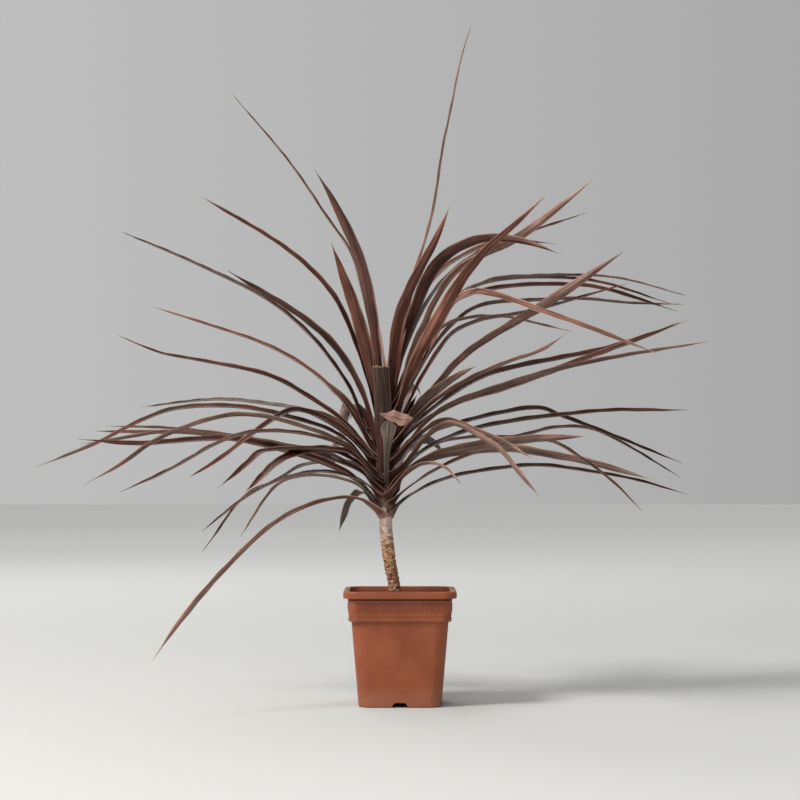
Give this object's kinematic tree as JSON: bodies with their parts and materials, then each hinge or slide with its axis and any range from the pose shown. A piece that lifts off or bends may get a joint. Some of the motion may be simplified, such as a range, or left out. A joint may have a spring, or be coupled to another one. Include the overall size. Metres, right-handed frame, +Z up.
{
  "type": "potted cordyline",
  "caption": "Young cordyline house plant with a bare leaning trunk and a spray of long narrow arching red-brown leaves, in a square terracotta-coloured nursery pot with a key band.",
  "frame": {"origin": "On the ground under the middle of the whole plant's bounds. The pot's middle is at x 33 mm, y -22 mm, because the leaves reach further to the left and to the back.", "axes": "+Z up, -Y towards the viewer of the picture, +X to the viewer's right."},
  "size_m": [0.8344, 0.6454, 0.8439],
  "materials": {
    "terracotta_plastic": "satin",
    "soil": "matte",
    "bark": "matte",
    "leaf_dark": "satin",
    "leaf_mauve": "satin",
    "leaf_pink": "satin",
    "leaf_grey": "satin",
    "leaf_orange": "satin"
  },
  "bodies": {
    "root": {"leaf_back_01": "leaf_dark", "leaf_back_02": "leaf_dark", "leaf_back_03": "leaf_mauve", "leaf_back_04": "leaf_dark", "leaf_back_05": "leaf_mauve", "leaf_back_06": "leaf_dark", "leaf_left_01": "leaf_dark", "leaf_left_02": "leaf_dark", "leaf_left_03": "leaf_orange", "leaf_left_04": "leaf_dark", "leaf_left_06": "leaf_dark", "leaf_left_07": "leaf_orange", "leaf_left_08": "leaf_dark", "leaf_left_09": "leaf_dark", "leaf_left_10": "leaf_dark", "leaf_left_11": "leaf_pink", "leaf_left_12": "leaf_dark", "leaf_left_13": "leaf_dark", "leaf_left_14": "leaf_mauve", "leaf_left_16": "leaf_dark", "leaf_left_18": "leaf_dark", "leaf_left_19": "leaf_dark", "leaf_left_20": "leaf_dark", "leaf_left_21": "leaf_dark", "leaf_left_22": "leaf_pink", "leaf_left_23": "leaf_mauve", "leaf_left_24": "leaf_grey", "leaf_left_25": "leaf_grey", "leaf_left_26": "leaf_pink", "leaf_middle_01": "leaf_dark", "leaf_middle_02": "leaf_mauve", "leaf_middle_03": "leaf_pink", "leaf_right_01": "leaf_dark", "leaf_right_02": "leaf_dark", "leaf_right_03": "leaf_dark", "leaf_right_04": "leaf_mauve", "leaf_right_05": "leaf_dark", "leaf_right_06": "leaf_pink", "leaf_right_07": "leaf_dark", "leaf_right_08": "leaf_mauve", "leaf_right_12": "leaf_mauve", "leaf_right_13": "leaf_orange", "leaf_right_14": "leaf_dark", "leaf_right_16": "leaf_pink", "leaf_right_17": "leaf_mauve", "leaf_right_18": "leaf_dark", "leaf_right_19": "leaf_dark", "leaf_right_20": "leaf_mauve", "leaf_right_21": "leaf_dark", "leaf_right_22": "leaf_dark", "leaf_right_23": "leaf_mauve", "leaf_right_24": "leaf_dark", "leaf_right_25": "leaf_mauve", "leaf_right_27": "leaf_mauve", "leaf_right_28": "leaf_mauve", "leaf_right_29": "leaf_dark", "leaf_right_30": "leaf_dark", "pot": "terracotta_plastic", "potting_soil": "soil", "trunk": "bark"}
  },
  "joints": []
}
